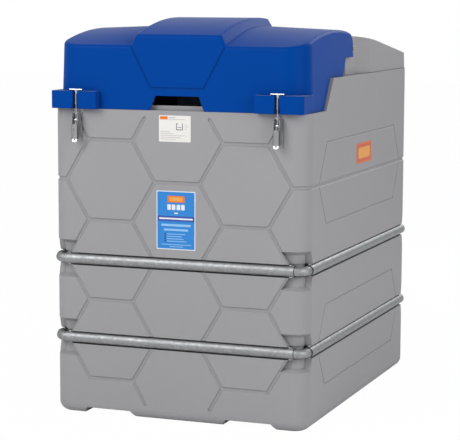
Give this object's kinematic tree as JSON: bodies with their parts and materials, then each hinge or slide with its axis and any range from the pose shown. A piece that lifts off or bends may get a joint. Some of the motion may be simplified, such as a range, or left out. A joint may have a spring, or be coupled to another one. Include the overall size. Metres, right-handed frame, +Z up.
{
  "type": "diesel exhaust fluid tank",
  "caption": "Double-walled outdoor tank for diesel exhaust fluid: grey moulded body with honeycomb relief and tube rings, blue hinged lid over pump and gauge, grey rear hood.",
  "frame": {"origin": "centre of the base, on the plane that the feet stand on", "axes": "+X to the right seen from the front with the latches, +Y from the front to the rear, +Z up"},
  "size_m": [1.2202, 1.6566, 1.775],
  "materials": {
    "outer_shell": "matt moulded, warm grey",
    "lid_blue": "satin moulded, blue",
    "hood_grey": "matt moulded, warm grey",
    "ring_steel": "galvanised",
    "latch_steel": "zinc plated",
    "fastener_steel": "zinc plated",
    "inner_shell": "matt moulded, natural",
    "cap_black": "matt moulded, black",
    "fitting_steel": "satin",
    "pump_blue": "satin",
    "pump_black": "matt",
    "bracket_steel": "brushed",
    "pipe_grey": "satin",
    "float_white": "matt",
    "button_grey": "matt",
    "switch_red": "satin"
  },
  "bodies": {
    "tank": {"deck_screws": "fastener_steel", "fill_coupling": "fitting_steel", "flow_meter": "pump_black", "foot_valve": "pump_black", "hinge_bolts": "fastener_steel", "hinge_nuts": "fastener_steel", "hood_screws": "fastener_steel", "inner_tank": "inner_shell", "latch_base_left": "latch_steel", "latch_base_right": "latch_steel", "latch_rivets": "fastener_steel", "level_gauge": "cap_black", "lower_ring_bolts": "fastener_steel", "lower_ring_elbows": "ring_steel", "lower_ring_front": "ring_steel", "lower_ring_left": "ring_steel", "lower_ring_rear": "ring_steel", "lower_ring_right": "ring_steel", "nozzle_holder": "cap_black", "outer_tank": "outer_shell", "outlet_fitting": "fitting_steel", "pressure_pipe": "fitting_steel", "pump_body": "pump_blue", "pump_bracket": "bracket_steel", "pump_motor": "pump_black", "rear_hood": "hood_grey", "step_screws": "fastener_steel", "suction_pipe": "pipe_grey", "tank_vent": "pipe_grey", "upper_ring_bolts": "fastener_steel", "upper_ring_elbows": "ring_steel", "upper_ring_front": "ring_steel", "upper_ring_left": "ring_steel", "upper_ring_rear": "ring_steel", "upper_ring_right": "ring_steel"},
    "lid": {"service_lid": "lid_blue"},
    "lever_left": {"latch_lever_left": "latch_steel"},
    "lever_right": {"latch_lever_right": "latch_steel"},
    "draw_left": {"latch_draw_bolt_left": "latch_steel"},
    "draw_right": {"latch_draw_bolt_right": "latch_steel"},
    "cap": {"tank_cap": "cap_black"},
    "fill": {"fill_cap": "cap_black"},
    "float": {"gauge_float": "float_white"},
    "switch": {"pump_switch": "switch_red"},
    "button_left": {"meter_button_left": "button_grey"},
    "button_right": {"meter_button_right": "button_grey"}
  },
  "joints": [
    {"name": "lid_hinge", "type": "hinge", "parent": "tank", "child": "lid", "pos_m": [0, -0.096, 1.634], "axis": [-1, 0, 0], "range_deg": [0, 75]},
    {"name": "latch_left", "type": "hinge", "parent": "tank", "child": "lever_left", "pos_m": [-0.47, -0.824, 1.345], "axis": [-1, 0, 0], "range_deg": [0, 100]},
    {"name": "latch_right", "type": "hinge", "parent": "tank", "child": "lever_right", "pos_m": [0.47, -0.824, 1.345], "axis": [-1, 0, 0], "range_deg": [0, 100]},
    {"name": "draw_left_pivot", "type": "hinge", "parent": "lever_left", "child": "draw_left", "pos_m": [-0.47, -0.822, 1.328], "axis": [-1, 0, 0], "range_deg": [-112, 0]},
    {"name": "draw_right_pivot", "type": "hinge", "parent": "lever_right", "child": "draw_right", "pos_m": [0.47, -0.822, 1.328], "axis": [-1, 0, 0], "range_deg": [-112, 0]},
    {"name": "cap_turn", "type": "hinge", "parent": "tank", "child": "cap", "pos_m": [-0.3, -0.48, 1.25], "axis": [0, 0, 1], "continuous": true},
    {"name": "fill_cap_turn", "type": "hinge", "parent": "tank", "child": "fill", "pos_m": [-0.44, -0.29, 1.25], "axis": [0, 0, 1], "continuous": true},
    {"name": "float_slide", "type": "slide", "parent": "tank", "child": "float", "axis": [0, 0, 1], "range_m": [0, 1.04]},
    {"name": "switch_rock", "type": "hinge", "parent": "tank", "child": "switch", "pos_m": [0.3, -0.33, 1.4373], "axis": [1, 0, 0], "range_deg": [-12, 12]},
    {"name": "button_left_press", "type": "slide", "parent": "tank", "child": "button_left", "axis": [0, 1, 0], "range_m": [0, 0.003], "stiffness_N_per_m": 300},
    {"name": "button_right_press", "type": "slide", "parent": "tank", "child": "button_right", "axis": [0, 1, 0], "range_m": [0, 0.003], "stiffness_N_per_m": 300}
  ],
  "couplings": [
    {"joint": "draw_left_pivot", "follows": "latch_left", "ratio": -1.12},
    {"joint": "draw_right_pivot", "follows": "latch_right", "ratio": -1.12}
  ]
}
